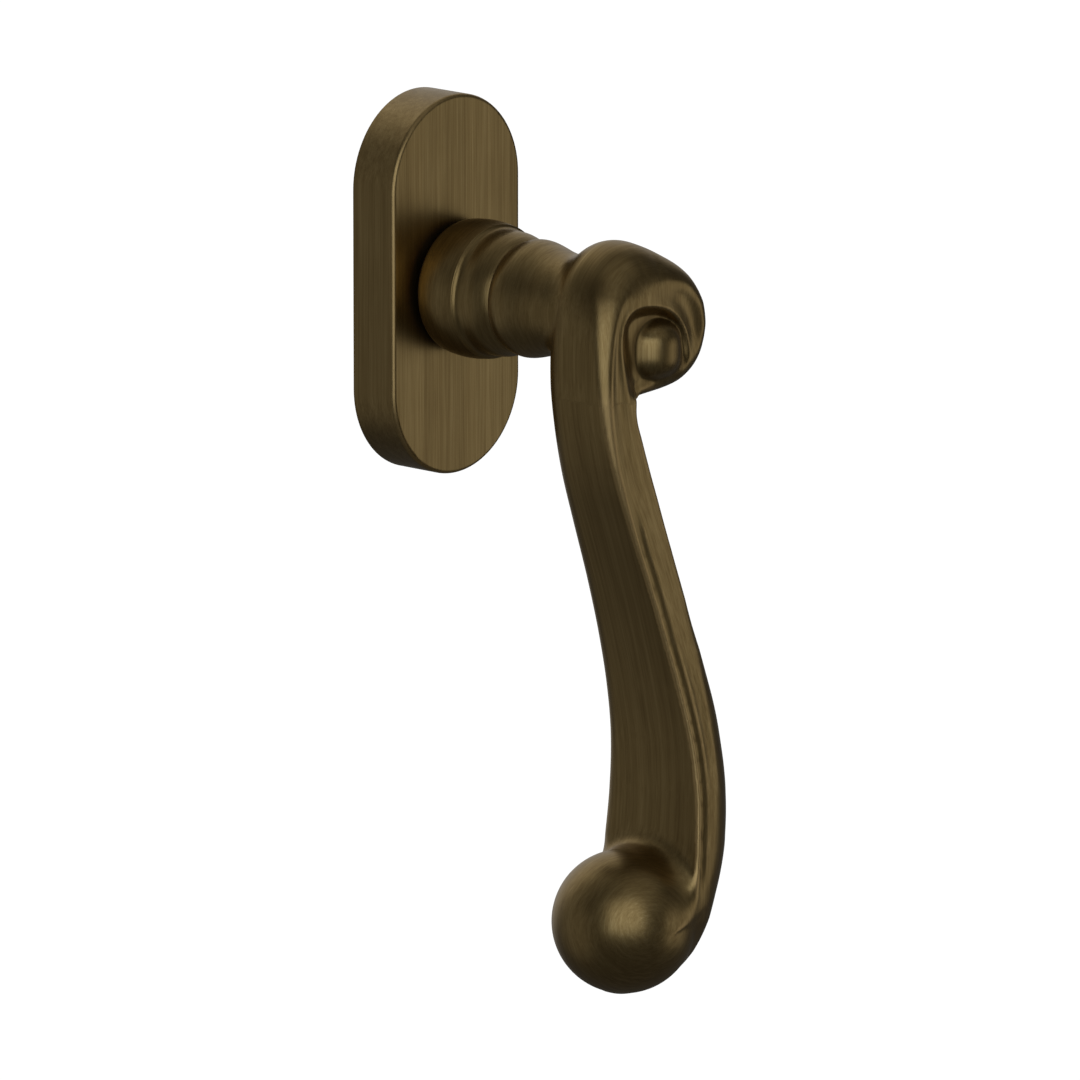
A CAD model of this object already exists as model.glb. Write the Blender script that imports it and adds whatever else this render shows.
import math

import bpy
import numpy as np
from mathutils import Matrix, Vector


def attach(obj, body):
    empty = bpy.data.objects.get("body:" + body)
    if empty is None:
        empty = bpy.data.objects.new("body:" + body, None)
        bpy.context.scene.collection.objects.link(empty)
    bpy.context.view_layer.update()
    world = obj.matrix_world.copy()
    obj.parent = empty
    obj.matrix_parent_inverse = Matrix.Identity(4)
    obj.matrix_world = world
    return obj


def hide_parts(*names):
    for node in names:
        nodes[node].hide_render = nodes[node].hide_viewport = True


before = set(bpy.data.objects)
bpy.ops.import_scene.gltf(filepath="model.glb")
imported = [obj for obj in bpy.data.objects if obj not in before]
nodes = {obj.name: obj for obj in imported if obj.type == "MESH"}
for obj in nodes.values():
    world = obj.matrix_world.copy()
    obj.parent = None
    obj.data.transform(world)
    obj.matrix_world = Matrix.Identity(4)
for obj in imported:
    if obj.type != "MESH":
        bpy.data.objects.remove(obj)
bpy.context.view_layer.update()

scene = bpy.context.scene

# Sizes below are in millimetres: X to the right, d out from the wall (y = -d), Z up.

# ------------------------------------------------------------------ lever form
KNOB = (2.95, 48.8, -113.0, 13.15)          # X, d, Z, radius
SEAM = 27.38                                # joint between collar and neck
NECK = [(26.0, 9.9), (27.4, 10.15), (28.0, 10.5), (29.6, 10.9), (32.0, 10.5), (34.5, 9.8), (37.0, 9.3),
        (39.5, 9.0), (41.5, 8.4), (43.2, 7.0), (44.6, 4.8), (45.5, 2.0)]

# outer edge of the strip, from inside the ball up the stem and round the scroll head
EDGE_A = [(3.0, -118.0), (6.6, -111.5), (8.1, -107.5), (8.8, -103.5), (9.1, -100.0), (9.86, -90.0), (9.24, -80.0),
          (7.22, -70.0), (4.40, -60.0), (1.10, -50.0), (-2.53, -40.0), (-6.05, -30.0), (-8.55, -20.0),
          (-9.75, -11.0), (-9.85, -4.0), (-9.3, 2.0), (-7.85, 6.15), (-5.35, 9.4), (-1.9, 11.6), (1.8, 12.6),
          (5.3, 12.45), (8.7, 11.35), (12.0, 9.4), (15.1, 7.1), (17.5, 4.0), (19.0, 0.3), (19.5, -3.6), (18.9, -7.8),
          (17.2, -11.4), (14.1, -14.0), (10.3, -15.1), (7.0, -15.4)]
# the head's underside, which closes its outline inside the stem
UNDERSIDE = [(2.5, -15.8), (-1.5, -16.8), (-5.0, -16.4), (-7.6, -13.4), (-9.0, -8.6)]
# inner edge of the strip, from the bottom of the hook up the stem and into the head
EDGE_B = [(-3.16, -120.28), (0.15, -123.43), (3.99, -124.85), (7.78, -124.96), (11.4, -123.7), (14.5, -121.6),
          (17.1, -119.0), (19.0, -116.2), (20.55, -113.1), (22.2, -109.0), (23.3, -105.5), (24.05, -102.4),
          (24.6, -99.0), (25.0, -94.0), (24.85, -88.2), (23.55, -80.5), (21.15, -72.8), (17.8, -65.0), (14.4, -57.3),
          (11.55, -49.5), (8.8, -41.8), (5.6, -32.2), (2.5, -22.6), (1.1, -17.6), (2.0, -13.0), (5.0, -9.0), (9.0, -6.0)]
# lip: front edge of the flank up the stem, then the outer edge of the crease round the eye
LIP = [(9.0, -60.0), (6.6, -49.5), (4.6, -41.8), (2.0, -32.2), (-0.6, -22.6), (-2.0, -16.0), (-2.8, -12.0), (-3.5, -8.6),
       (-4.0, -5.6), (-3.9, -2.8), (-3.1, -0.6), (-1.6, 0.7), (0.6, 1.25), (3.3, 1.05), (6.2, 0.45), (9.0, -0.8),
       (11.2, -2.9), (12.6, -5.5), (13.1, -8.3), (12.6, -11.0), (10.7, -13.2), (7.5, -14.2), (4.6, -14.7),
       (2.9, -15.9), (2.5, -18.0), (2.9, -21.5)]
EYE = (6.7, -7.1)                           # middle of the crease ring
DOME = (6.8, -7.15, 51.7, 5.45)               # the domed eye: X, Z, d of its middle and radius

# rounding of the outer front edge, at places (X, Z) on the outer edge
ROUND_A = [((9.1, -105), 0.75), ((9.2, -80), 0.75), ((4.4, -60), 0.8), ((-2.5, -40), 0.85), ((-7, -27), 0.95), ((-9.3, -15), 1.9), ((-9.85, -4), 3.1),
           ((-9.3, 2), 3.9), ((-7.8, 6.0), 5.2), ((-5.2, 9.1), 6.6), ((-1.8, 11.2), 7.6), ((3.0, 12.2), 7.8),
           ((8.6, 11.1), 7.2), ((13.0, 8.8), 5.4), ((16.5, 5.3), 4.0), ((19.0, 0.3), 2.9), ((19.4, -4.0), 2.6),
           ((18.4, -9.0), 3.2), ((15, -13.4), 4.4), ((10.0, -15.1), 5.2)]
# depth of the flute between the outer ridge and the lip, and the place of the ridge
FLUTE_A = [((-3.2, -38), 0.0), ((-6.05, -30), 0.10), ((-8.0, -22), 0.22), ((-9.75, -11.0), 0.36), ((-9.85, -4), 0.34),
           ((-9.3, 2), 0.3), ((-7.8, 6.0), 0.2), ((-4.5, 9.6), 0.1), ((1.8, 12.2), 0.05), ((8.6, 11.1), 0.15),
           ((12.5, 9.1), 0.35), ((16.0, 6.1), 0.6), ((19.0, 0.3), 0.75), ((19.5, -4), 0.7), ((19.0, -7), 0.35),
           ((17.5, -10.9), 0.0)]
CREST_A = [((9.1, -105), 0.6), ((-6.05, -30), 0.7), ((-9.3, -15), 1.9), ((-9.85, -4), 3.6), ((-9.3, 2), 4.6),
           ((-7.8, 6.0), 5.0), ((-1.8, 11.2), 4.6), ((3.0, 12.2), 4.6), ((8.6, 11.1), 4.3), ((13.0, 8.8), 3.6),
           ((16.5, 5.3), 2.7), ((19.0, 0.3), 1.9), ((19.4, -4.0), 1.7), ((18.4, -9.0), 2.0), ((10.0, -15.1), 3.4)]

# depth of the section and its middle, down the stem by Z
DEPTH_Z = [(-104, 25.2), (-100, 25.2), (-90, 24.2), (-80, 22.5), (-70, 20.8), (-60, 19.4), (-50, 18.4), (-40, 17.6),
           (-30, 16.8), (-20, 16.3), (-10, 16.15), (20, 16.1)]
MID_Z = [(-114, 48.8), (-100, 48.75), (-90, 48.6), (-80, 48.4), (-70, 48.1), (-60, 47.8), (-50, 47.55), (-40, 47.3),
         (-30, 47.1), (-20, 46.95), (-10, 46.84), (20, 46.8)]
# and round the hook by angle about the ball
DEPTH_HOOK = [(-130, 3.0), (-90, 6.0), (-65, 11.6), (-32, 17.8), (0, 22.3), (22, 24.5), (40, 25.2), (90, 25.2)]
FLANK_HOOK = [(-130, 3.0), (-90, 3.8), (-65, 4.8), (-32, 6.4), (0, 8.6), (22, 10.4), (40, 11.0), (90, 11.1)]
FLANK_Z = [(-98, 11.1), (-90.5, 10.6), (-82, 9.2), (-72.8, 7.0), (-63.1, 4.6), (-53.4, 3.2), (-43.7, 2.6),
           (-34.1, 2.3), (-24.4, 2.2), (-16, 2.1), (-11, 2.0), (20, 2.0)]
# how square the flank is (2 is an ellipse; below 2 it falls away at once) and how far the outer side leans in
SQUARE_Z = [(-90, 1.72), (-80, 1.78), (-70, 2.0), (-60, 2.25), (-50, 2.3), (20, 2.3)]
LEAN_A = [((8.8, -103.5), 0.3), ((9.2, -80), 0.45), ((4.4, -60), 0.5), ((-2.5, -40), 0.5), ((-7, -27), 0.5),
          ((-9.3, -15), 0.9), ((-9.85, -4), 1.7), ((-9.3, 2), 2.5), ((-7.8, 6.0), 2.8), ((-5.2, 9.1), 2.7),
          ((-1.8, 11.2), 2.4), ((3.0, 12.2), 2.2), ((8.6, 11.1), 1.8), ((13.0, 8.8), 1.1), ((16.5, 5.3), 0.5),
          ((19.0, 0.3), 0.0)]


def catmull(points, step):
    """Points every step mm along a centripetal curve through the given ones."""
    p = np.array(points, float)
    p = np.vstack([2 * p[0] - p[1], p, 2 * p[-1] - p[-2]])
    out = []
    for i in range(1, len(p) - 2):
        p0, p1, p2, p3 = p[i - 1], p[i], p[i + 1], p[i + 2]
        t0 = 0.0
        t1 = t0 + math.sqrt(np.linalg.norm(p1 - p0))
        t2 = t1 + math.sqrt(np.linalg.norm(p2 - p1))
        t3 = t2 + math.sqrt(np.linalg.norm(p3 - p2))
        t = np.linspace(t1, t2, 24, endpoint=False)[:, None]
        a1 = (t1 - t) / (t1 - t0) * p0 + (t - t0) / (t1 - t0) * p1
        a2 = (t2 - t) / (t2 - t1) * p1 + (t - t1) / (t2 - t1) * p2
        a3 = (t3 - t) / (t3 - t2) * p2 + (t - t2) / (t3 - t2) * p3
        b1 = (t2 - t) / (t2 - t0) * a1 + (t - t0) / (t2 - t0) * a2
        b2 = (t3 - t) / (t3 - t1) * a2 + (t - t1) / (t3 - t1) * a3
        out.append((t2 - t) / (t2 - t1) * b1 + (t - t1) / (t2 - t1) * b2)
    out = np.vstack(out + [p[-2:-1]])
    s = np.r_[0, np.cumsum(np.hypot(*np.diff(out, axis=0).T))]
    n = int(s[-1] / step)
    t = np.linspace(0, s[-1], n + 1)
    c = np.c_[np.interp(t, s, out[:, 0]), np.interp(t, s, out[:, 1])]
    # a little smoothing evens out the curvature
    k = np.exp(-0.5 * (np.arange(-12, 13) * step / 0.9) ** 2)
    k /= k.sum()
    e = np.vstack([2 * c[0] - c[12:0:-1], c, 2 * c[-1] - c[-2:-14:-1]])
    return np.c_[np.convolve(e[:, 0], k, "valid"), np.convolve(e[:, 1], k, "valid")]


def near(P, C):
    """Distance from points P to polyline C, signed (negative to the right of its direction), and the arc length there."""
    a, b = C[:-1], C[1:]
    ab = b - a
    L2 = (ab ** 2).sum(1)
    s0 = np.r_[0, np.cumsum(np.sqrt(L2))]
    best = np.full(len(P), 1e9)
    sign = np.zeros(len(P))
    arc = np.zeros(len(P))
    for i0 in range(0, len(P), 4000):
        p = P[i0:i0 + 4000]
        ap = p[:, None, :] - a[None]
        t = np.clip((ap * ab).sum(2) / L2, 0, 1)
        q = ap - t[..., None] * ab
        d2 = (q ** 2).sum(2)
        j = d2.argmin(1)
        r = np.arange(len(p))
        best[i0:i0 + 4000] = np.sqrt(d2[r, j])
        # the side comes from the tangent averaged at the nearest point, steady at corners
        i_lo, i_hi = np.maximum(j - 1, 0), np.minimum(j + 1, len(ab) - 1)
        tan = ab[i_lo] + ab[i_hi]
        qq = q[r, j]
        sign[i0:i0 + 4000] = np.sign(tan[:, 0] * qq[:, 1] - tan[:, 1] * qq[:, 0])
        arc[i0:i0 + 4000] = s0[j] + t[r, j] * np.sqrt(L2[j])
    return best * sign, arc


def table(points, x):
    p = np.array(points, float)
    return np.interp(x, p[:, 0], p[:, 1])


def places(C, marks):
    """Arc length along C of the marked places, with their values."""
    _, s = near(np.array([m[0] for m in marks], float), C)
    return list(zip(s, [m[1] for m in marks]))


def step(x, lo, hi):
    t = np.clip((x - lo) / (hi - lo), 0, 1)
    return t * t * (3 - 2 * t)


def and_round(a, b, r):
    """Inside both, with the edge between them rounded to radius r."""
    return np.minimum(-r, np.maximum(a, b)) + np.hypot(np.maximum(a + r, 0), np.maximum(b + r, 0))


def join(a, b, k):
    """Inside either, with the corner between them filled."""
    h = np.maximum(k - np.abs(a - b), 0) / k
    return np.minimum(a, b) - h * h * k * 0.25


GRID = 0.2                                   # plan maps
X0, X1, Z0, Z1 = -14.0, 26.4, -129.2, 16.4


def plan_maps():
    x = np.arange(X0, X1 + 1e-6, GRID)
    z = np.arange(Z0, Z1 + 1e-6, GRID)
    P = np.stack(np.meshgrid(x, z, indexing="ij"), -1).reshape(-1, 2)
    X, Z = P[:, 0], P[:, 1]
    ca, cb = catmull(EDGE_A, 0.3), catmull(EDGE_B, 0.3)
    head = catmull(EDGE_A[14:] + UNDERSIDE + EDGE_A[14:15], 0.3)
    a, sa = near(P, catmull(EDGE_A[:19], 0.3))      # curve A runs up with the body on its right
    a_head, s_head = near(P, ca)
    b, sb = near(P, cb)
    b = -b
    h, sh = near(P, head)
    # on the left the head's outline is the strip's own edge, so that the two meet without a step
    w = step(-Z, -3.5, -0.5) * step(Z, -11.5, -9.0) * (1 - step(X, -3.0, 1.0))
    h = h + (a - h) * w

    hook = 1 - step(Z, -105, -97)
    phi = np.degrees(np.arctan2(Z - KNOB[2], X - KNOB[0]))
    phi = np.where(phi < -150, phi + 360, phi)
    depth = table(DEPTH_Z, Z) * (1 - hook) + table(DEPTH_HOOK, np.clip(phi, -130, 90)) * hook
    flank = table(FLANK_Z, Z) * (1 - hook) + table(FLANK_HOOK, np.clip(phi, -130, 90)) * hook
    mid = table(MID_Z, Z)
    fill = 3.6 + 1.9 * step(phi, -25, 35)    # how softly the ball grows out of the hook

    square = table(SQUARE_Z, Z)
    # the stem's own edge counts below the crotch, the whole outline elsewhere
    below = step(-Z, 14.0, 16.0) * (1 - step(X, 1.0, 3.5))

    def round_edge(marks):
        s = places(ca, marks)
        return table(s, sa) * below + table(s, s_head) * (1 - below)

    lean = round_edge(LEAN_A)

    # rounding of the outer front edge, and of the back edge, which is nearly half round on the head
    r_front = round_edge(ROUND_A)
    r_back = table([(-110, 3.8), (-60, 4.7), (-30, 5.3), (-14, 6.0), (-2, 7.2), (20, 7.4)], Z)

    # the strip's ridges and hollows, measured from the outer edge
    u, w = np.where(below > 0.5, -a, -a_head), near(P, catmull(LIP, 0.3))[0]
    crest = round_edge(CREST_A)
    t = np.clip((u - crest) / np.maximum(u - crest + w, 0.4), 0, 1)
    carve = -round_edge(FLUTE_A) * np.sin(np.pi * t) ** 2

    fade = (1 - step(Z, -42, -30)) * step(Z, -112, -101)
    g1 = table([(-110, 1.35), (-99, 1.35), (-90, 1.3), (-80.8, 1.55), (-71, 1.3), (-61.7, 1.25), (-52, 1.4),
                (-42.5, 1.7), (-33, 2.2), (-27, 3.2)], Z)
    r2 = table([(-110, 2.7), (-99, 2.7), (-90, 2.9), (-80.8, 2.9), (-71, 3.0), (-61.7, 2.9), (-52, 3.2),
                (-42.5, 3.2), (-33, 3.9), (-27, 5.4)], Z)
    g2 = r2 + 1.2
    r3 = g2 + 1.8
    d1 = 0.42 * fade
    d2 = 0.20 * fade * (1 - step(Z, -72, -56)) * step(Z, -92, -80)
    # ridge 1 is the outer edge itself; the hollow between the ridges, then a faint second one lower down

    def wave(lo, mid_, hi, depth_):
        up_ = step(u, lo, mid_)
        down_ = 1 - step(u, mid_, hi)
        return -depth_ * np.minimum(up_, down_)

    carve = carve + wave(0.35, g1, r2, d1) + wave(r2, g2, r3, d2)
    # the end of the outer ridge runs out into the ball
    carve = carve - 1.6 * step(-Z, 102.0, 115.5) * (1 - step(X, 7.0, 14.5))

    # crease round the eye: a wall falling from the lip, gentle on the left and short elsewhere, and the eye's dome
    ex, ez = X - EYE[0], Z - EYE[1]
    th = np.degrees(np.arctan2(ez, ex))
    th = np.where(th < -120, th + 360, th)
    drop = table([(-120, 1.6), (-95, 0.6), (-70, 0.1), (-40, 0.15), (-15, 0.6), (15, 1.0), (50, 1.6), (90, 1.8),
                  (150, 1.7), (200, 1.7), (240, 1.6)], th)
    run = table([(-120, 3.5), (-95, 1.5), (-70, 1.2), (-15, 0.7), (50, 0.9), (90, 1.2), (130, 2.2), (160, 3.6), (200, 3.8),
                 (240, 3.5)], th)
    wall = np.where(Z > -17.5, drop * step(-w, -0.7, run), 0) * step(Z, -16.2, -12.6)
    front = mid + depth * 0.5
    rd = np.sqrt((X - DOME[0]) ** 2 + np.abs(Z - DOME[1]) ** 2.9 / DOME[3] ** 0.9)
    edge = 0.93 * DOME[3]
    dome = DOME[2] + np.where(rd < edge, np.sqrt(np.maximum(DOME[3] ** 2 - rd ** 2, 0)),
                              DOME[3] * 0.3676 - 2.53 * (rd - edge))
    top = front + carve - wall
    top = -join(-top, -np.where(w < 0.3, dome, 0), 1.9)
    k = step(Z, -20.0, -16.0)
    carve = (top - front) / (1 + k * (np.clip((top - mid) / (0.5 * depth), 0.3, 1.3) ** 2 - 1))

    soft = 0.001 + 0.35 * np.exp(-0.5 * ((X - 1.4) ** 2 + (Z + 15.8) ** 2) / 1.3 ** 2)
    maps = np.stack([a, b, h, depth, mid, flank, r_front, r_back, carve, square, lean, soft, fill], -1)
    return x, z, maps.reshape(len(x), len(z), -1)


NECK_LINE = catmull(NECK, 0.3)


def lever_field(m, X, d, Z):
    """Signed form of the lever, negative inside; m has the plan maps' values at (X, Z)."""
    a, b, h, depth, mid, flank, r_front, r_back, carve, p, lean, soft, fill = [m[..., i] for i in range(13)]
    half = depth * 0.5
    v = (d - mid) / half
    side = lean * np.clip((v + 1) * 0.5, 0, 1.1) ** 2      # the outer side leans in towards the front
    dd = d - carve * np.clip(v, 0, 1.3) ** 2
    f = dd - mid - half
    g = mid - half - dd
    left = np.maximum(and_round(a + side, f, r_front), and_round(a + side, g, r_back))
    e0 = np.maximum(b + flank, 0) / flank
    e1 = np.abs(dd - mid) / half
    n = (e0 ** p + e1 ** p) ** (1 / p) + 1e-9
    slope = np.sqrt(((e0 / n) ** (p - 1) / flank) ** 2 + ((e1 / n) ** (p - 1) / half) ** 2) + 1e-6
    right = (n - 1) / slope
    strip = np.maximum(np.maximum(left, right), Z + 1.0)
    # scroll head, whose front carries the same ridges, the crease and the eye
    disc = np.maximum(and_round(h + side, f, r_front), and_round(h + side, g, r_back))
    body = join(strip, disc, soft)
    # turned neck
    rad = np.hypot(X, Z)
    R = np.interp(d, NECK_LINE[:, 0], NECK_LINE[:, 1])
    neck = and_round(rad - R, SEAM - d, 0.12)
    neck = np.maximum(neck, d - 45.5)
    body = join(body, neck, 2.0)
    ball = np.sqrt((X - KNOB[0]) ** 2 + (d - KNOB[1]) ** 2 + (Z - KNOB[2]) ** 2) - KNOB[3]
    return join(body, ball, fill)


def cubic(maps, gx, gz):
    """Catmull-Rom sampling of the plan maps at fractional grid places."""
    i = np.clip(np.floor(gx).astype(int), 1, maps.shape[0] - 3)
    j = np.clip(np.floor(gz).astype(int), 1, maps.shape[1] - 3)
    fx, fz = gx - i, gz - j

    def w(t):
        return (((-0.5 * t + 1) * t - 0.5) * t, (1.5 * t - 2.5) * t * t + 1, ((-1.5 * t + 2) * t + 0.5) * t,
                (0.5 * t - 0.5) * t * t)

    wx, wz = w(fx), w(fz)
    out = 0
    for p in range(4):
        row = 0
        for q in range(4):
            row = row + maps[i + p - 1, j + q - 1] * wz[q][:, None]
        out = out + row * wx[p][:, None]
    return out


def surface(x, d, z, F):
    """Surface nets: vertices and quads of F's zero level."""
    nx, ny, nz = F.shape
    S = F < 0
    corner = [(i, j, k) for i in (0, 1) for j in (0, 1) for k in (0, 1)]
    some = np.zeros((nx - 1, ny - 1, nz - 1), bool)
    every = np.ones_like(some)
    for i, j, k in corner:
        c = S[i:nx - 1 + i, j:ny - 1 + j, k:nz - 1 + k]
        some |= c
        every &= c
    cell = some & ~every
    ci = np.argwhere(cell)
    index = np.full(cell.shape, -1, np.int64)
    index[cell] = np.arange(len(ci))
    val = {c: F[ci[:, 0] + c[0], ci[:, 1] + c[1], ci[:, 2] + c[2]] for c in corner}
    acc = np.zeros((len(ci), 3))
    cnt = np.zeros(len(ci))
    for c in corner:
        for ax in range(3):
            if c[ax]:
                continue
            e = tuple(c[q] + (q == ax) for q in range(3))
            va, vb = val[c], val[e]
            hit = (va < 0) != (vb < 0)
            t = np.where(hit, va / np.where(hit, va - vb, 1), 0)
            pos = np.array(c, float)[None] + np.eye(3)[ax][None] * t[:, None]
            acc += pos * hit[:, None]
            cnt += hit
    g = ci + acc / cnt[:, None]
    h = np.array([x[1] - x[0], d[1] - d[0], z[1] - z[0]])
    verts = np.array([x[0], d[0], z[0]]) + g * h
    quads = []
    for ax in range(3):
        o1, o2 = (ax + 1) % 3, (ax + 2) % 3
        lo = [slice(1, -1)] * 3
        lo[ax] = slice(0, F.shape[ax] - 1)
        hi = list(lo)
        hi[ax] = slice(1, F.shape[ax])
        A, B = S[tuple(lo)], S[tuple(hi)]
        for sense in (0, 1):
            e = np.argwhere(A & ~B) if sense else np.argwhere(~A & B)
            if not len(e):
                continue
            base = e.copy()
            base[:, o1] += 1
            base[:, o2] += 1
            q = []
            for s1, s2 in ((-1, -1), (0, -1), (0, 0), (-1, 0)):
                c = base.copy()
                c[:, o1] += s1
                c[:, o2] += s2
                q.append(index[c[:, 0], c[:, 1], c[:, 2]])
            q = np.stack(q, 1)
            quads.append(q if sense else q[:, ::-1])
    return verts, np.vstack(quads)


def make_lever(h=0.4):
    x, z, maps = plan_maps()
    k = int(round(h / GRID))
    gx, gz = x[::k], z[::k]
    gd = np.arange(25.6, 63.6, h)
    m = maps[::k, ::k][:, None, :, :].astype(np.float32)
    F = lever_field(m, gx[:, None, None].astype(np.float32), gd[None, :, None].astype(np.float32),
                    gz[None, None, :].astype(np.float32))
    verts, quads = surface(gx, gd, gz, F)

    def value(P):
        mm = cubic(maps, (P[:, 0] - x[0]) / GRID, (P[:, 2] - z[0]) / GRID)
        return lever_field(mm, P[:, 0], P[:, 1], P[:, 2])

    e = 0.04
    for _ in range(3):
        f = value(verts)
        g = np.stack([value(verts + e * np.eye(3)[i]) - value(verts - e * np.eye(3)[i]) for i in range(3)], 1) / (2 * e)
        n2 = np.maximum((g ** 2).sum(1), 0.1)
        verts = verts - np.clip(f / n2, -0.3, 0.3)[:, None] * g
    normals = g / np.maximum(np.linalg.norm(g, axis=1), 1e-6)[:, None]
    # bend at each vertex, 1/mm: above zero on edges and ridges, below in hollows
    i = np.concatenate([quads[:, k] for k in range(4)])
    j = np.concatenate([quads[:, (k + 1) % 4] for k in range(4)])
    dp, dn = verts[j] - verts[i], normals[j] - normals[i]
    kappa = 2 * (dp * dn).sum(1) / np.maximum((dp ** 2).sum(1), 1e-3)
    count = np.maximum(np.bincount(i, minlength=len(verts)) + np.bincount(j, minlength=len(verts)), 1)
    bend = (np.bincount(i, kappa, len(verts)) + np.bincount(j, kappa, len(verts))) / count
    for _ in range(3):
        bend = 0.5 * bend + 0.5 * (np.bincount(i, bend[j], len(verts)) + np.bincount(j, bend[i], len(verts))) / count
    # where the dark film is thicker: the side of the stem towards its front ridge, and the shoulder of the head
    Z, v = verts[:, 2], (verts[:, 1] - table(MID_Z, verts[:, 2])) / (0.5 * table(DEPTH_Z, verts[:, 2]))
    bend = bend * (1 - 0.6 * step(Z, -16, -10))
    shade = 0.32 * step(v, -0.6, 0.9) * step(-normals[:, 0], 0.5, 0.85) * step(-Z, 14, 30) * step(Z, -112, -92)
    shade = shade + 0.75 * np.exp(-0.5 * (((verts[:, 0] + 7.4) / 2.0) ** 2 + ((Z - 5.0) / 3.6) ** 2)) * step(v, -0.1, 0.6)
    rd = np.hypot(verts[:, 0] - DOME[0], Z - DOME[1])
    moat = step(rd, 4.9, 5.7) * (1 - step(rd, 6.5, 7.6)) * step(Z, -13, -10) * step(v, 0.5, 0.8)
    shade = np.maximum(shade, 0.75 * moat)
    # coordinates that run with the stem, for the brush strokes
    A = np.array([p for p in EDGE_A if -100.5 < p[1] < -3.5])
    shift = np.interp(verts[:, 2], A[:, 1], A[:, 0])
    brush = np.c_[verts[:, 0] - shift, -verts[:, 1], verts[:, 2]] * 0.001
    # and round the crown of the head
    top = verts[:, 2] > -2
    u, s = np.zeros(len(verts)), np.zeros(len(verts))
    u[top], s[top] = near(verts[top][:, [0, 2]], catmull(EDGE_A, 0.3))
    crown = step(normals[:, 2], 0.30, 0.62) * step(verts[:, 2], 1.0, 4.0) * step(verts[:, 1], 38.0, 40.5)
    arc = np.c_[u, -verts[:, 1], s] * 0.001
    return verts, quads, {"bend": bend, "shade": shade, "crown": crown}, {"brush_co": brush, "arc_co": arc}


def mesh_object(name, verts, faces, smooth=True):
    """verts in mm as (X, d, Z)."""
    me = bpy.data.meshes.new(name)
    co = np.c_[verts[:, 0], -verts[:, 1], verts[:, 2]] * 0.001
    me.from_pydata(co.tolist(), [], np.asarray(faces)[:, ::-1].tolist())
    me.validate()
    if smooth:
        me.polygons.foreach_set("use_smooth", np.ones(len(me.polygons), bool))
    me.update()
    o = bpy.data.objects.new(name, me)
    scene.collection.objects.link(o)
    return o


# ------------------------------------------------------------------- materials
class Tree:
    """Short calls for building a node tree."""

    def __init__(self, name):
        self.mat = bpy.data.materials.new(name)
        self.mat.use_nodes = True
        self.t = self.mat.node_tree
        self.t.nodes.clear()

    def node(self, kind, **props):
        n = self.t.nodes.new(kind)
        for k, v in props.items():
            setattr(n, k, v)
        return n

    def link(self, a, b):
        self.t.links.new(a, b)

    def put(self, socket, v):
        if hasattr(v, "is_output"):
            self.link(v, socket)
        else:
            socket.default_value = v

    def math(self, op, a, b=None, c=None, clamp=False):
        n = self.node("ShaderNodeMath", operation=op, use_clamp=clamp)
        for s, v in zip(n.inputs, (a, b, c)):
            if v is not None:
                self.put(s, v)
        return n.outputs[0]

    def vec(self, op, a, b=None, scale=None):
        n = self.node("ShaderNodeVectorMath", operation=op)
        self.put(n.inputs[0], a)
        if b is not None:
            self.put(n.inputs[1], b)
        if scale is not None:
            self.put(n.inputs["Scale"], scale)
        return n.outputs["Value" if op in ("LENGTH", "DOT_PRODUCT", "DISTANCE") else "Vector"]

    def noise(self, vector, scale, detail=2.0, rough=0.5, distortion=0.0):
        n = self.node("ShaderNodeTexNoise")
        self.put(n.inputs["Vector"], vector)
        n.inputs["Scale"].default_value = scale
        n.inputs["Detail"].default_value = detail
        n.inputs["Roughness"].default_value = rough
        n.inputs["Distortion"].default_value = distortion
        return n.outputs["Fac"]

    def remap(self, v, a, b, c, d, clamp=True):
        n = self.node("ShaderNodeMapRange", clamp=clamp)
        self.put(n.inputs["Value"], v)
        for s, x in zip(("From Min", "From Max", "To Min", "To Max"), (a, b, c, d)):
            self.put(n.inputs[s], x)
        return n.outputs[0]

    def ramp(self, v, stops):
        n = self.node("ShaderNodeValToRGB")
        self.put(n.inputs[0], v)
        el = n.color_ramp.elements
        el[0].position, el[0].color = stops[0][0], (*stops[0][1], 1)
        el[1].position, el[1].color = stops[-1][0], (*stops[-1][1], 1)
        for p, c in stops[1:-1]:
            e = el.new(p)
            e.color = (*c, 1)
        return n.outputs[0]

    def mix(self, f, a, b):
        n = self.node("ShaderNodeMix", data_type="RGBA")
        self.put(n.inputs["Factor"], f)
        self.put(n.inputs["A"], a if hasattr(a, "is_output") else (*a, 1))
        self.put(n.inputs["B"], b if hasattr(b, "is_output") else (*b, 1))
        return n.outputs["Result"]

    def blend(self, f, a, b):
        n = self.node("ShaderNodeMix", data_type="FLOAT")
        self.put(n.inputs["Factor"], f)
        self.put(n.inputs["A"], a)
        self.put(n.inputs["B"], b)
        return n.outputs["Result"]

    def bump(self, height, strength, distance, normal=None):
        n = self.node("ShaderNodeBump")
        self.put(n.inputs["Height"], height)
        n.inputs["Strength"].default_value = strength
        n.inputs["Distance"].default_value = distance
        if normal is not None:
            self.link(normal, n.inputs["Normal"])
        return n.outputs[0]

    def finish(self, color, rough, normal=None, metallic=1.0, **extra):
        n = self.node("ShaderNodeBsdfPrincipled")
        self.put(n.inputs["Base Color"], color if hasattr(color, "is_output") else (*color, 1))
        self.put(n.inputs["Roughness"], rough)
        n.inputs["Metallic"].default_value = metallic
        if normal is not None:
            self.link(normal, n.inputs["Normal"])
        for k, v in extra.items():
            n.inputs[k.replace("_", " ")].default_value = v
        out = self.node("ShaderNodeOutputMaterial")
        self.link(n.outputs[0], out.inputs[0])
        return self.mat

    def place(self):
        return self.node("ShaderNodeTexCoord").outputs["Object"]


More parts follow.
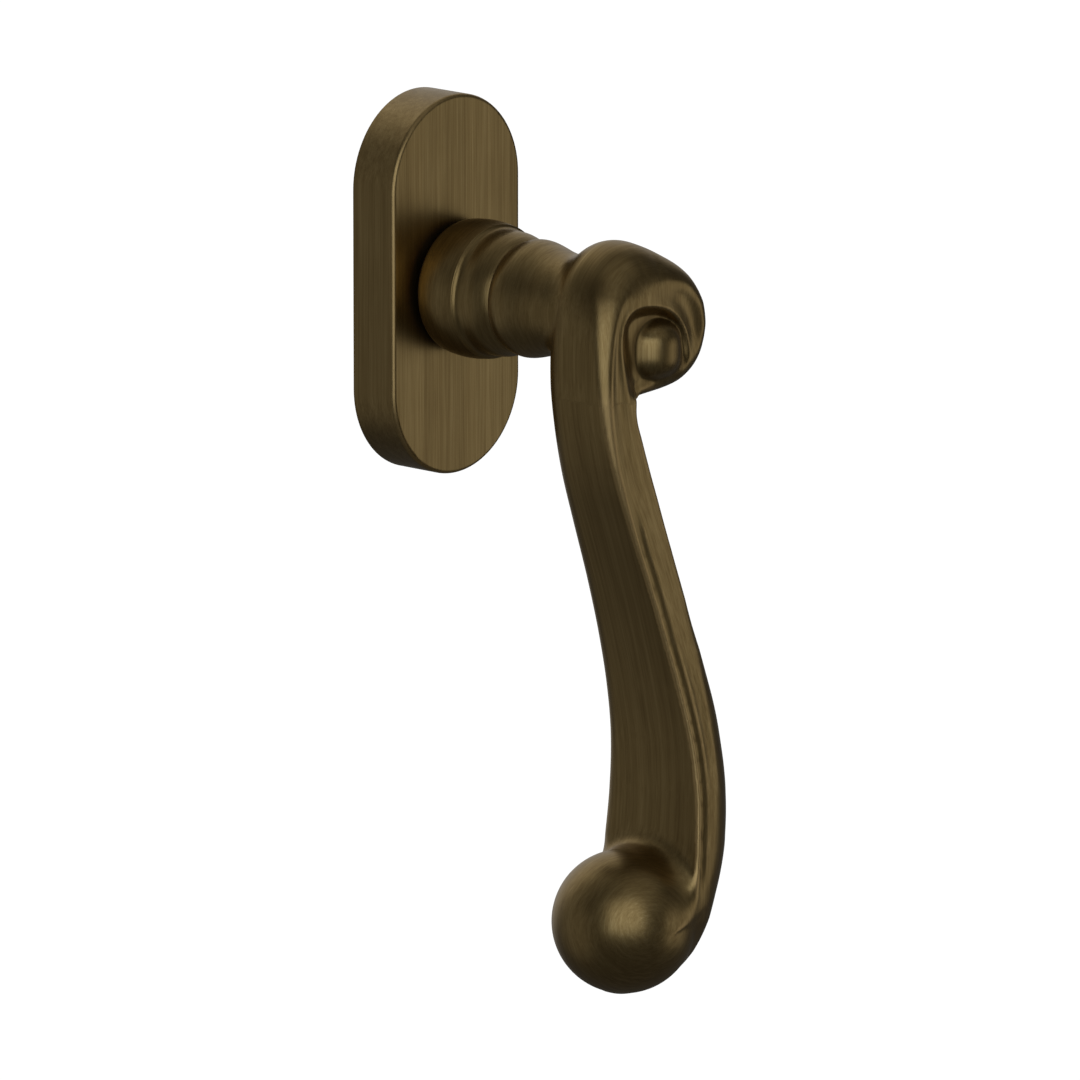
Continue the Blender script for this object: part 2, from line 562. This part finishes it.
def along_z(t, p, stretch):
    """Object coordinates squeezed along Z, so that a noise runs in vertical strokes."""
    n = t.node("ShaderNodeMapping")
    t.link(p, n.inputs["Vector"])
    n.inputs["Scale"].default_value = (1, 1, 1.0 / stretch)
    return n.outputs[0]


def round_ball(t, p, squeeze):
    """Strokes that run round the ball in circles about a pole on its front."""
    c = Vector((KNOB[0], -KNOB[1], KNOB[2])) * 0.001
    pole = Vector((-0.44, -0.892, 0.087)).normalized()
    q = t.vec("SUBTRACT", p, tuple(c))
    far = t.vec("LENGTH", q)
    height = t.vec("DOT_PRODUCT", q, tuple(pole))
    drop = t.node("ShaderNodeVectorMath", operation="SCALE")
    drop.inputs[0].default_value = tuple(pole)
    t.put(drop.inputs["Scale"], height)
    flat = t.vec("SUBTRACT", q, drop.outputs["Vector"])
    ring = t.vec("SCALE", t.vec("NORMALIZE", flat), scale=KNOB[3] * 0.001 / squeeze)
    arc = t.math("ARCCOSINE", t.math("DIVIDE", height, far))
    arc = t.math("MULTIPLY_ADD", t.noise(p, 75.0, 2.0, 0.5), 0.35, arc)
    low = t.node("ShaderNodeVectorMath", operation="SCALE")
    low.inputs[0].default_value = tuple(pole)
    t.put(low.inputs["Scale"], t.math("MULTIPLY", arc, KNOB[3] * 0.001))
    return t.vec("ADD", ring, low.outputs["Vector"]), far


def round_y(t, p, turns):
    """Coordinates for strokes that run round the turning axis: (unit radius vector * turns, y, radius)."""
    flat = t.vec("MULTIPLY", p, (1, 0, 1))
    r = t.vec("LENGTH", flat)
    unit = t.vec("NORMALIZE", flat)
    ring = t.vec("SCALE", unit, scale=turns)
    s = t.node("ShaderNodeSeparateXYZ")
    t.link(p, s.inputs[0])
    y = t.math("MULTIPLY_ADD", r, 0.8, s.outputs[1])
    c = t.node("ShaderNodeCombineXYZ")
    t.link(y, c.inputs[1])
    return t.vec("ADD", ring, c.outputs[0])


BRASS_DARK, BRASS_MID, BRASS_LIGHT = (0.235, 0.156, 0.058), (0.325, 0.225, 0.089), (0.430, 0.310, 0.134)
BRASS_WORN, BRASS_FILM = (0.70, 0.49, 0.215), (0.150, 0.098, 0.036)


def brass(name, mode):
    """Darkened antique brass, brushed. mode: 'up' strokes along Z, 'ring' strokes round the neck, 'both' for the lever."""
    t = Tree(name)
    p = t.place()
    fine_s, mid_s, wide_s = 5200.0, 1500.0, 260.0

    def strokes(q):
        fine = t.noise(q, fine_s, 2.0, 0.6)
        mid = t.noise(q, mid_s, 3.0, 0.6)
        wide = t.noise(q, wide_s, 2.0, 0.5)
        return fine, mid, wide

    along = p
    if mode == "both":
        along = t.node("ShaderNodeAttribute", attribute_name="brush_co").outputs["Vector"]
    up = strokes(along_z(t, along, 90.0)) if mode != "ring" else None
    ring = strokes(round_y(t, p, 0.0011)) if mode != "up" else None
    if mode == "both":
        arc = t.node("ShaderNodeAttribute", attribute_name="arc_co").outputs["Vector"]
        crown = t.node("ShaderNodeAttribute", attribute_name="crown").outputs["Fac"]
        up = [t.blend(crown, a, b) for a, b in zip(up, strokes(along_z(t, arc, 60.0)))]
        s = t.node("ShaderNodeSeparateXYZ")
        t.link(p, s.inputs[0])
        rad = t.vec("LENGTH", t.vec("MULTIPLY", p, (1, 0, 1)))
        f1 = t.remap(s.outputs[1], -0.0385, -0.0372, 0, 1)
        f2 = t.remap(rad, 0.0118, 0.0135, 1, 0)
        f = t.math("MULTIPLY", f1, f2)
        fine, mid, wide = [t.blend(f, a, b) for a, b in zip(up, ring)]
        q, far = round_ball(t, p, 9.0)
        g = t.remap(far, 0.0131, 0.0146, 1, 0)
        fine, mid, wide = [t.blend(g, a, b) for a, b in zip((fine, mid, wide), strokes(q))]
    else:
        fine, mid, wide = up or ring
    cloud = t.noise(p, 90.0, 3.0, 0.55)
    # colour: strokes of lighter brass through the dark film, with broad patches where it is thicker
    tone = t.math("MULTIPLY_ADD", mid, 0.55, t.math("MULTIPLY", fine, 0.45))
    tone = t.math("MULTIPLY_ADD", t.math("SUBTRACT", wide, 0.5), 0.14 if mode == "up" else 0.2, tone)
    tone = t.math("MULTIPLY_ADD", t.math("SUBTRACT", cloud, 0.5), 0.15, tone)
    color = t.ramp(tone, [(0.30, BRASS_DARK), (0.50, BRASS_MID), (0.72, BRASS_LIGHT)])
    # the film is rubbed off edges and ridges and stays in hollows
    if mode == "both":
        bent = t.node("ShaderNodeAttribute", attribute_name="bend").outputs["Fac"]
        worn = t.remap(t.math("MULTIPLY_ADD", t.math("SUBTRACT", mid, 0.5), 0.25, bent), 0.2, 0.62, 0, 0.7)
        film = t.remap(bent, -0.12, -0.8, 0, 0.7)
        shade = t.node("ShaderNodeAttribute", attribute_name="shade").outputs["Fac"]
        color = t.mix(t.math("MAXIMUM", film, shade, clamp=True), color, BRASS_FILM)
        color = t.mix(worn, color, BRASS_WORN)
    elif mode == "up":
        n = t.node("ShaderNodeSeparateXYZ")
        t.link(t.node("ShaderNodeNewGeometry").outputs["True Normal"], n.inputs[0])
        ny = t.math("MULTIPLY", n.outputs[1], -1.0)
        worn = t.math("MULTIPLY", t.remap(ny, 0.12, 0.4, 0, 1), t.remap(ny, 0.88, 0.98, 0.4, 0))
        color = t.mix(worn, color, BRASS_WORN)
    rough = t.remap(t.math("MULTIPLY_ADD", fine, 0.5, t.math("MULTIPLY", wide, 0.5)), 0.3, 0.7, 0.40, 0.30)
    if mode != "ring":
        rough = t.math("MULTIPLY_ADD", worn, 0.14, rough)
    h = t.math("MULTIPLY_ADD", mid, 0.6, t.math("MULTIPLY", fine, 0.4))
    normal = t.bump(h, 0.35, 0.00006)
    return t.finish(color, rough, normal, 1.0, Coat_Weight=0.04, Coat_Roughness=0.25)


def metal(name, color, rough, grain="cast", depth=0.00004):
    """Inner metals: cast, plated, turned, rolled, polished or oxide-black."""
    t = Tree(name)
    p = t.place()
    c = np.array(color)
    if grain == "turned":
        q = round_y(t, p, 0.0009)
        a, b = t.noise(q, 2600.0, 3.0, 0.6), t.noise(q, 700.0, 2.0, 0.5)
    elif grain == "drawn":
        n = t.node("ShaderNodeMapping")
        t.link(p, n.inputs["Vector"])
        n.inputs["Scale"].default_value = (1, 0.02, 1)
        a, b = t.noise(n.outputs[0], 3600.0, 3.0, 0.6), t.noise(n.outputs[0], 900.0, 2.0, 0.5)
    else:
        a, b = t.noise(p, 3200.0, 4.0, 0.65), t.noise(p, 420.0, 3.0, 0.55)
    spots = t.noise(p, 150.0, 3.0, 0.6)
    tone = t.math("MULTIPLY_ADD", a, 0.45, t.math("MULTIPLY_ADD", b, 0.35, t.math("MULTIPLY", spots, 0.2)))
    col = t.ramp(tone, [(0.28, tuple(c * 0.68)), (0.5, tuple(c)), (0.74, tuple(np.minimum(c * 1.18, 0.95)))])
    r = t.remap(b, 0.3, 0.7, rough + 0.07, max(rough - 0.07, 0.04))
    return t.finish(col, r, t.bump(a, 0.4, depth), 1.0)


def nylon(name):
    t = Tree(name)
    p = t.place()
    a, b = t.noise(p, 2600.0, 3.0, 0.6), t.noise(p, 260.0, 3.0, 0.55)
    col = t.ramp(b, [(0.3, (0.022, 0.022, 0.024)), (0.55, (0.036, 0.036, 0.039)), (0.75, (0.055, 0.055, 0.058))])
    r = t.remap(a, 0.3, 0.7, 0.62, 0.48)
    return t.finish(col, r, t.bump(a, 0.5, 0.00003), 0.0, Specular_IOR_Level=0.45)


mat_up = brass("antique_brass_upright", "up")
mat_ring = brass("antique_brass_turned", "ring")
mat_lever = brass("antique_brass_lever", "both")
mat = {
    "cast_zinc": metal("cast_zinc", (0.44, 0.45, 0.46), 0.46, "cast", 0.00009),
    "zinc_plated_steel": metal("zinc_plated_steel", (0.56, 0.58, 0.60), 0.26, "plain", 0.00002),
    "spring_steel": metal("spring_steel", (0.30, 0.30, 0.32), 0.30, "plain", 0.00002),
    "turned_steel": metal("turned_steel", (0.42, 0.42, 0.43), 0.30, "turned", 0.00003),
    "drawn_steel": metal("drawn_steel", (0.40, 0.40, 0.41), 0.32, "drawn", 0.00003),
    "polished_steel": metal("polished_steel", (0.62, 0.62, 0.63), 0.10, "plain", 0.000006),
    "black_steel": metal("black_steel", (0.035, 0.035, 0.038), 0.38, "plain", 0.00003),
    "black_nylon": nylon("black_nylon"),
}

finish_of = {
    "rosette_cover": mat_up, "neck_collar": mat_ring,
    "base_plate": mat["cast_zinc"],
    "back_plate": mat["zinc_plated_steel"], "back_plate_screws": mat["zinc_plated_steel"],
    "detent_plugs": mat["zinc_plated_steel"], "fixing_screws": mat["zinc_plated_steel"],
    "cover_clips": mat["spring_steel"], "spindle_pin": mat["spring_steel"], "retaining_ring": mat["spring_steel"],
    "detent_spring_upper": mat["spring_steel"], "detent_spring_lower": mat["spring_steel"],
    "driver_shank": mat["turned_steel"], "square_spindle": mat["drawn_steel"], "detent_disc": mat["turned_steel"],
    "detent_ball_upper": mat["polished_steel"], "detent_ball_lower": mat["polished_steel"],
    "lever_grub_screw": mat["black_steel"],
    "bearing_bush": mat["black_nylon"], "thrust_washer": mat["black_nylon"], "cover_guide_ring": mat["black_nylon"],
    "lever": mat_lever,
}
for name, o in nodes.items():
    o.data.materials.clear()
    o.data.materials.append(finish_of[name])

# ----------------------------------------------------------------------- lever
verts, quads, values, vectors = make_lever(0.4)
lever = mesh_object("lever_body", verts, quads)
assert len(lever.data.vertices) == len(verts)
for key, v in values.items():
    lever.data.attributes.new(key, "FLOAT", "POINT").data.foreach_set("value", v.astype(np.float32))
for key, v in vectors.items():
    lever.data.attributes.new(key, "FLOAT_VECTOR", "POINT").data.foreach_set("vector", v.astype(np.float32).ravel())
lever.data.materials.append(mat_lever)
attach(lever, "handle")
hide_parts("lever")

# ---------------------------------------------------------------------- camera
BACK = Vector((-0.71348012, -0.66876152, 0.20905537))
TARGET = Vector((-0.003871, -0.034325, -0.043327))
cam_data = bpy.data.cameras.new("camera")
cam = bpy.data.objects.new("camera", cam_data)
scene.collection.objects.link(cam)
cam_data.sensor_width = 36.0
cam_data.lens = 470.7
cam_data.clip_start, cam_data.clip_end = 0.1, 60.0
cam.location = TARGET + BACK * 2.55364
cam.rotation_mode = "QUATERNION"
cam.rotation_quaternion = BACK.to_track_quat("Z", "Y")
scene.camera = cam

# ----------------------------------------------------------------- floor, light
floor_mat = Tree("floor_white")
em = floor_mat.node("ShaderNodeEmission")
em.inputs[0].default_value = (1, 1, 1, 1)
em.inputs[1].default_value = 1.05
out = floor_mat.node("ShaderNodeOutputMaterial")
floor_mat.link(em.outputs[0], out.inputs[0])
me = bpy.data.meshes.new("floor")
r = 14.0
me.from_pydata([(-r, -r, -0.6), (r, -r, -0.6), (r, r, -0.6), (-r, r, -0.6)], [], [(0, 1, 2, 3)])
floor = bpy.data.objects.new("floor", me)
scene.collection.objects.link(floor)
floor.data.materials.append(floor_mat.mat)
floor.visible_glossy = floor.visible_diffuse = floor.visible_shadow = False

# plain white wall in the plane the rosette sits on; it is seen only from the room's side
wall_mat = Tree("wall_white")
we = wall_mat.node("ShaderNodeEmission")
we.inputs[0].default_value = (1, 1, 1, 1)
we.inputs[1].default_value = 1.05
wx = wall_mat.node("ShaderNodeMixShader")
wallout = wall_mat.node("ShaderNodeOutputMaterial")
wall_mat.link(wall_mat.node("ShaderNodeNewGeometry").outputs["Backfacing"], wx.inputs[0])
wall_mat.link(we.outputs[0], wx.inputs[1])
wall_mat.link(wall_mat.node("ShaderNodeBsdfTransparent").outputs[0], wx.inputs[2])
wall_mat.link(wx.outputs[0], wallout.inputs[0])
me = bpy.data.meshes.new("wall")
me.from_pydata([(-1.5, 0, -0.6), (1.5, 0, -0.6), (1.5, 0, 1.2), (-1.5, 0, 1.2)], [], [(0, 1, 2, 3)])
wall = bpy.data.objects.new("wall", me)
scene.collection.objects.link(wall)
wall.data.materials.append(wall_mat.mat)
wall.visible_glossy = wall.visible_diffuse = wall.visible_shadow = False

world = bpy.data.worlds.new("studio")
scene.world = world
world.use_nodes = True
wt = world.node_tree
wt.nodes.clear()
lp = wt.nodes.new("ShaderNodeLightPath")
where = wt.nodes.new("ShaderNodeTexCoord").outputs["Generated"]


def lobe(total, azimuth, elevation, inner, outer, amount):
    """Adds a soft patch of light, full inside `inner` degrees and gone past `outer`."""
    a, e = math.radians(azimuth), math.radians(elevation)
    dot = wt.nodes.new("ShaderNodeVectorMath")
    dot.operation = "DOT_PRODUCT"
    wt.links.new(where, dot.inputs[0])
    dot.inputs[1].default_value = (math.sin(a) * math.cos(e), -math.cos(a) * math.cos(e), math.sin(e))
    m = wt.nodes.new("ShaderNodeMapRange")
    m.interpolation_type = "SMOOTHERSTEP"
    wt.links.new(dot.outputs["Value"], m.inputs["Value"])
    m.inputs["From Min"].default_value = math.cos(math.radians(outer))
    m.inputs["From Max"].default_value = math.cos(math.radians(inner))
    m.inputs["To Min"].default_value = 0.0
    m.inputs["To Max"].default_value = amount
    add = wt.nodes.new("ShaderNodeMath")
    add.operation = "ADD"
    if isinstance(total, float):
        add.inputs[0].default_value = total
    else:
        wt.links.new(total, add.inputs[0])
    wt.links.new(m.outputs[0], add.inputs[1])
    return add.outputs[0]


glow = lobe(0.055, -132, -10, 8, 46, 0.13)
glow = lobe(glow, 5, 55, 8, 42, 0.11)
glow = lobe(glow, 150, 25, 5, 60, 0.46)
glow = lobe(glow, -165, 45, 5, 45, 0.10)
glow = lobe(glow, 0, 80, 5, 50, 0.06)
bg_dim = wt.nodes.new("ShaderNodeBackground")
bg_dim.inputs[0].default_value = (1, 1, 1, 1)
wt.links.new(glow, bg_dim.inputs[1])
bg_white = wt.nodes.new("ShaderNodeBackground")
bg_white.inputs[0].default_value = (1, 1, 1, 1)
bg_white.inputs[1].default_value = 1.05
mx = wt.nodes.new("ShaderNodeMixShader")
wo = wt.nodes.new("ShaderNodeOutputWorld")
wt.links.new(lp.outputs["Is Camera Ray"], mx.inputs[0])
wt.links.new(bg_dim.outputs[0], mx.inputs[1])
wt.links.new(bg_white.outputs[0], mx.inputs[2])
wt.links.new(mx.outputs[0], wo.inputs[0])


def softbox(name, azimuth, elevation, distance, size_x, size_y, power, color=(1, 1, 1)):
    """Area light that faces the handle. Azimuth 0 is straight in front, positive to the right."""
    a, e = math.radians(azimuth), math.radians(elevation)
    away = Vector((math.sin(a) * math.cos(e), -math.cos(a) * math.cos(e), math.sin(e)))
    L = bpy.data.lights.new(name, "AREA")
    L.shape = "RECTANGLE"
    L.size, L.size_y = size_x, size_y
    L.energy = power
    L.color = color
    o = bpy.data.objects.new(name, L)
    scene.collection.objects.link(o)
    o.location = Vector((0, -0.03, -0.04)) + away * distance
    o.rotation_mode = "QUATERNION"
    o.rotation_quaternion = away.to_track_quat("Z", "Y")
    o.visible_camera = False
    return o


softbox("key", -43, 12, 0.4575, 0.52, 0.46, 0.58, (0.94, 1.0, 1.08))
softbox("right", 44, -9, 1.8, 1.2, 1.25, 1.9)

scene.view_settings.view_transform = "Standard"
scene.view_settings.look = "None"
scene.view_settings.exposure = 0.0
scene.view_settings.gamma = 1.0
